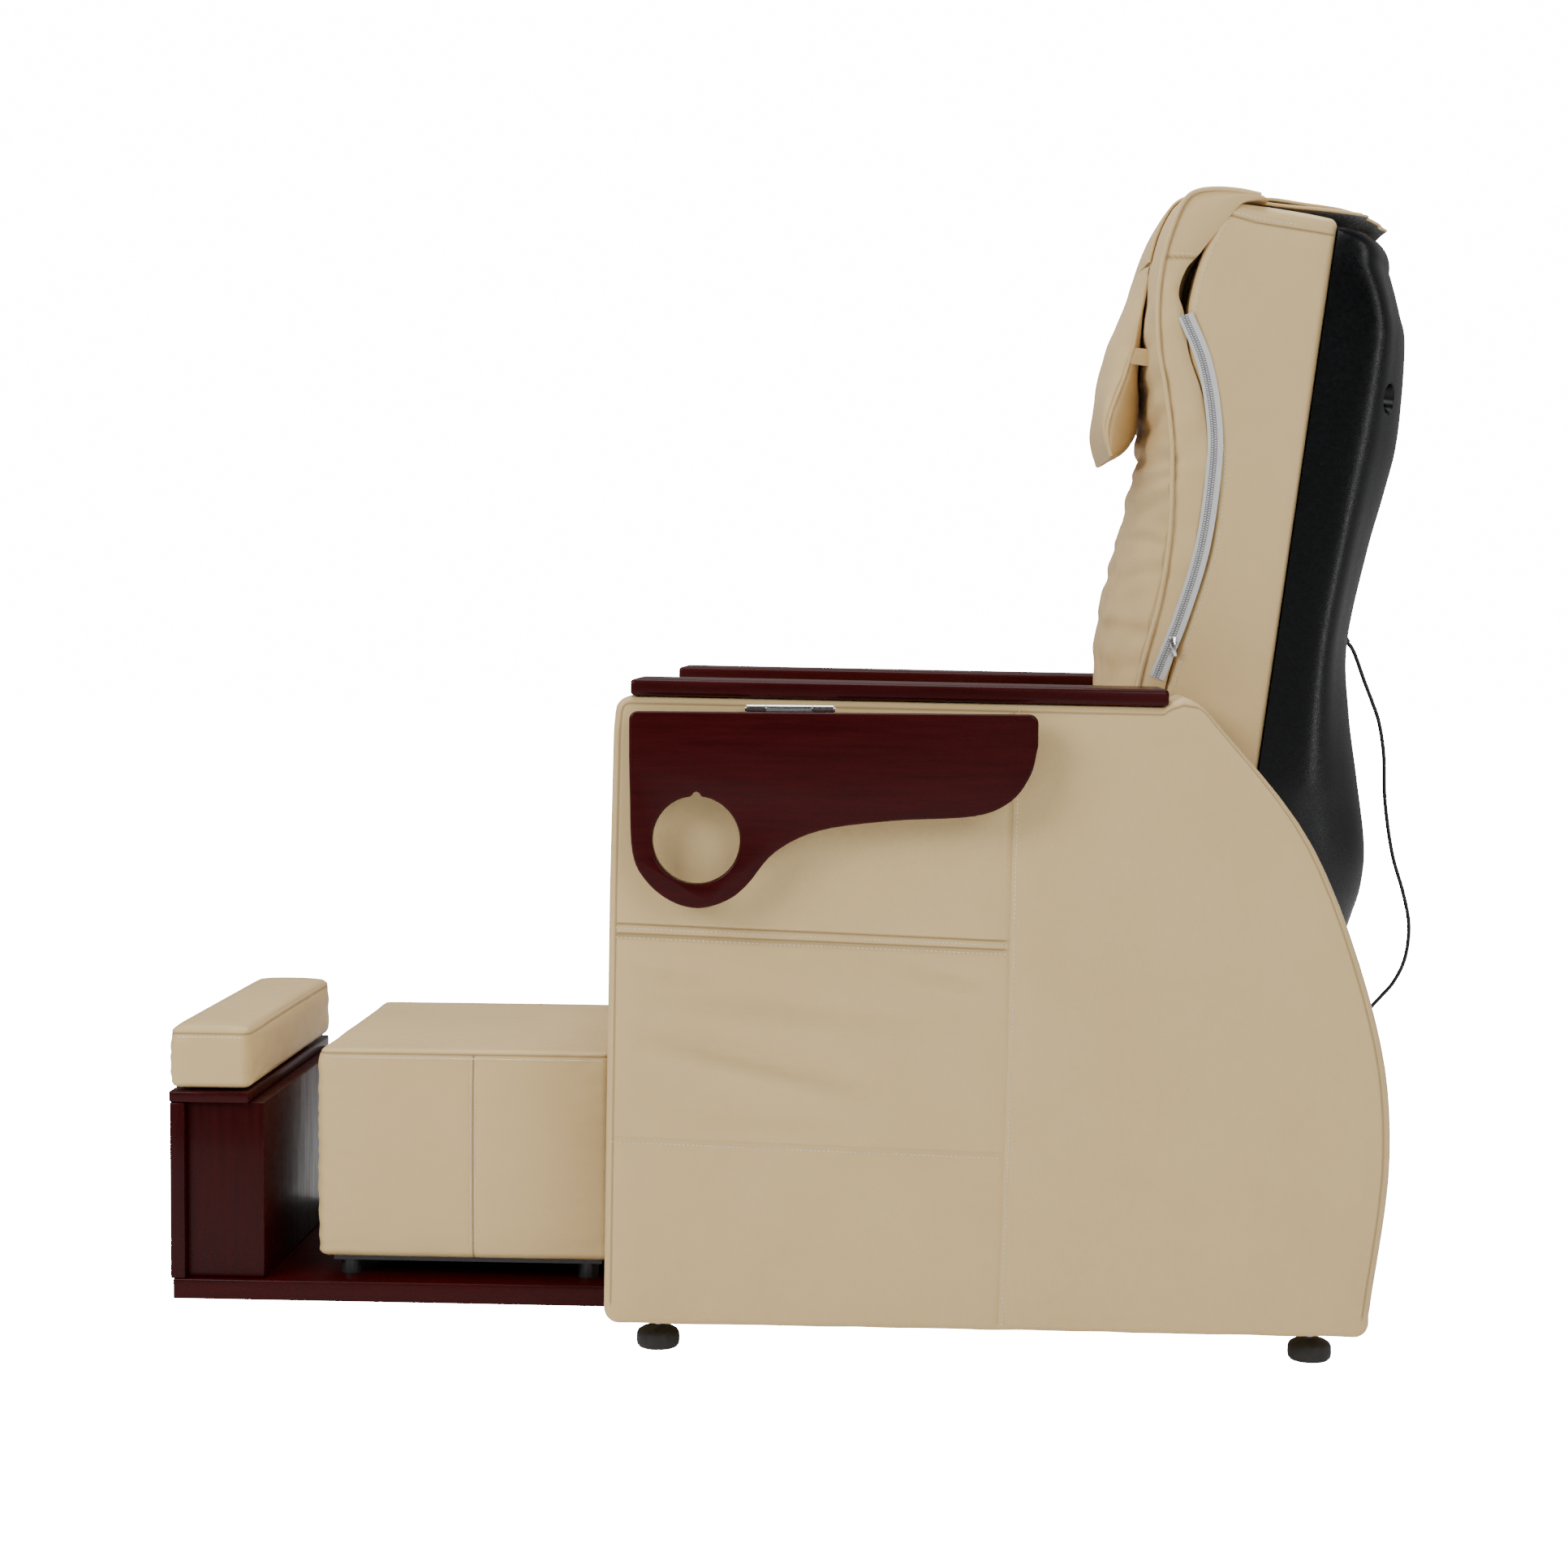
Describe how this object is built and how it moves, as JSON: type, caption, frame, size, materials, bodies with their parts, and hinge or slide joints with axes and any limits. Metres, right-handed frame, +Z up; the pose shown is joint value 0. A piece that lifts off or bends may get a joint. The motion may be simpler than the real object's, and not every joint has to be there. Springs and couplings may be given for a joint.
{
  "type": "massage chair",
  "caption": "Reclining massage armchair with upholstered sides, fold-up wooden side trays, a massage back, a lift-off stool and a sliding foot platform.",
  "frame": {"origin": "on the floor, under the middle of the chair's bounding box", "axes": "+X towards the back of the chair (the sitter faces -X), +Y to the sitter's right, +Z up"},
  "size_m": [1.5211, 0.844, 1.3714],
  "materials": {
    "cream_leather": "fine-grained cream leatherette, satin",
    "cherry_wood": "dark cherry lacquer, glossy",
    "black_shell": "black moulded shell, satin",
    "black_rubber": "matt black rubber",
    "bright_steel": "polished plated steel",
    "grey_steel": "grey powder coat",
    "plywood": "raw plywood",
    "grey_flap": "grey looped fastener tape",
    "motor_black": "matt black moulding",
    "roller_grey": "firm grey roller rubber"
  },
  "bodies": {
    "root": {"left_side_core": "plywood", "right_side_core": "plywood", "left_side_upholstery": "cream_leather", "right_side_upholstery": "cream_leather", "left_arm_board": "cherry_wood", "right_arm_board": "cherry_wood", "left_front_foot": "black_rubber", "left_rear_foot": "black_rubber", "right_front_foot": "black_rubber", "right_rear_foot": "black_rubber", "front_rail": "cream_leather", "rear_rail": "plywood", "seat_deck": "plywood", "seat_cushion": "cream_leather", "left_hinge_leaf": "bright_steel", "right_hinge_leaf": "bright_steel", "left_hinge_pin": "bright_steel", "right_hinge_pin": "bright_steel", "left_recline_bracket": "grey_steel", "right_recline_bracket": "grey_steel", "actuator_clevis": "grey_steel", "control_box": "motor_black", "back_cable": "black_rubber"},
    "actuator_body": {"actuator_body": "motor_black"},
    "actuator_rod": {"actuator_rod": "bright_steel"},
    "backrest": {"back_shell": "black_shell", "left_bolster": "cream_leather", "right_bolster": "cream_leather", "back_pad": "cream_leather", "pad_flap": "grey_flap", "pillow_flap": "cream_leather", "left_back_upright": "grey_steel", "right_back_upright": "grey_steel", "top_crossbar": "grey_steel", "bottom_crossbar": "grey_steel", "lift_motor": "motor_black", "shell_gland": "black_rubber"},
    "head_pillow": {"head_pillow": "cream_leather"},
    "lift_screw": {"lift_screw": "bright_steel"},
    "carriage": {"carriage": "grey_steel", "kneading_shaft": "bright_steel", "kneading_motor": "motor_black"},
    "left_massage_arm": {"left_massage_arm": "grey_steel"},
    "right_massage_arm": {"right_massage_arm": "grey_steel"},
    "left_upper_roller": {"left_upper_roller": "roller_grey"},
    "left_lower_roller": {"left_lower_roller": "roller_grey"},
    "right_upper_roller": {"right_upper_roller": "roller_grey"},
    "right_lower_roller": {"right_lower_roller": "roller_grey"},
    "left_tray": {"left_tray": "cherry_wood", "left_tray_leaf": "bright_steel"},
    "right_tray": {"right_tray": "cherry_wood", "right_tray_leaf": "bright_steel"},
    "platform": {"platform_base": "cherry_wood", "pedestal_front_board": "cherry_wood", "pedestal_box": "cherry_wood", "pedestal_top_board": "cherry_wood", "foot_cushion": "cream_leather"},
    "stool": {"stool_upholstery": "cream_leather", "stool_base": "motor_black"}
  },
  "joints": [
    {"name": "recline", "type": "hinge", "parent": "root", "child": "backrest", "pos_m": [0.45, 0, 0.47], "axis": [0, 1, 0], "range_deg": [0, 38], "deforming": ["back_cable"]},
    {"name": "actuator_tilt", "type": "hinge", "parent": "root", "child": "actuator_body", "pos_m": [0.05, 0, 0.28], "axis": [0, 1, 0], "range_deg": [-7, 1]},
    {"name": "actuator_stroke", "type": "slide", "parent": "actuator_body", "child": "actuator_rod", "axis": [0.9806, 0, 0.1961], "range_m": [-0.062, 0.001]},
    {"name": "pillow_flip", "type": "hinge", "parent": "backrest", "child": "head_pillow", "pos_m": [0.41762, 0, 1.27968], "axis": [0, 1, 0], "range_deg": [0, 60]},
    {"name": "massage_travel", "type": "slide", "parent": "backrest", "child": "carriage", "axis": [0.1271, 0, 0.9919], "range_m": [0, 0.45]},
    {"name": "lift_screw_spin", "type": "hinge", "parent": "backrest", "child": "lift_screw", "pos_m": [0.54546, 0, 0.86104], "axis": [0.1271, 0, 0.9919], "continuous": true},
    {"name": "left_knead", "type": "hinge", "parent": "carriage", "child": "left_massage_arm", "pos_m": [0.4805, 0, 0.70805], "axis": [0, 1, 0], "range_deg": [-10, 10]},
    {"name": "right_knead", "type": "hinge", "parent": "carriage", "child": "right_massage_arm", "pos_m": [0.4805, 0, 0.70805], "axis": [0, 1, 0], "range_deg": [-10, 10]},
    {"name": "left_upper_roller_spin", "type": "hinge", "parent": "left_massage_arm", "child": "left_upper_roller", "pos_m": [0.46854, 0, 0.77209], "axis": [0, 1, 0], "continuous": true},
    {"name": "left_lower_roller_spin", "type": "hinge", "parent": "left_massage_arm", "child": "left_lower_roller", "pos_m": [0.45278, 0, 0.6491], "axis": [0, 1, 0], "continuous": true},
    {"name": "right_upper_roller_spin", "type": "hinge", "parent": "right_massage_arm", "child": "right_upper_roller", "pos_m": [0.46854, 0, 0.77209], "axis": [0, 1, 0], "continuous": true},
    {"name": "right_lower_roller_spin", "type": "hinge", "parent": "right_massage_arm", "child": "right_lower_roller", "pos_m": [0.45278, 0, 0.6491], "axis": [0, 1, 0], "continuous": true},
    {"name": "left_tray_fold", "type": "hinge", "parent": "root", "child": "left_tray", "pos_m": [0.015, -0.395, 0.752], "axis": [-1, 0, 0], "range_deg": [0, 90]},
    {"name": "right_tray_fold", "type": "hinge", "parent": "root", "child": "right_tray", "pos_m": [0.015, 0.395, 0.752], "axis": [1, 0, 0], "range_deg": [0, 90]},
    {"name": "platform_slide", "type": "slide", "parent": "root", "child": "platform", "axis": [-1, 0, 0], "range_m": [0, 0.12]},
    {"name": "stool_lift", "type": "slide", "parent": "platform", "child": "stool", "axis": [0, 0, 1], "range_m": [0, 0.12]}
  ],
  "couplings": [
    {"joint": "actuator_tilt", "follows": "recline", "ratio": -0.15691},
    {"joint": "actuator_stroke", "follows": "recline", "m_per_rad": -0.090394},
    {"joint": "lift_screw_spin", "follows": "massage_travel", "rad_per_m": 314.16},
    {"joint": "right_knead", "follows": "left_knead", "ratio": -1}
  ]
}
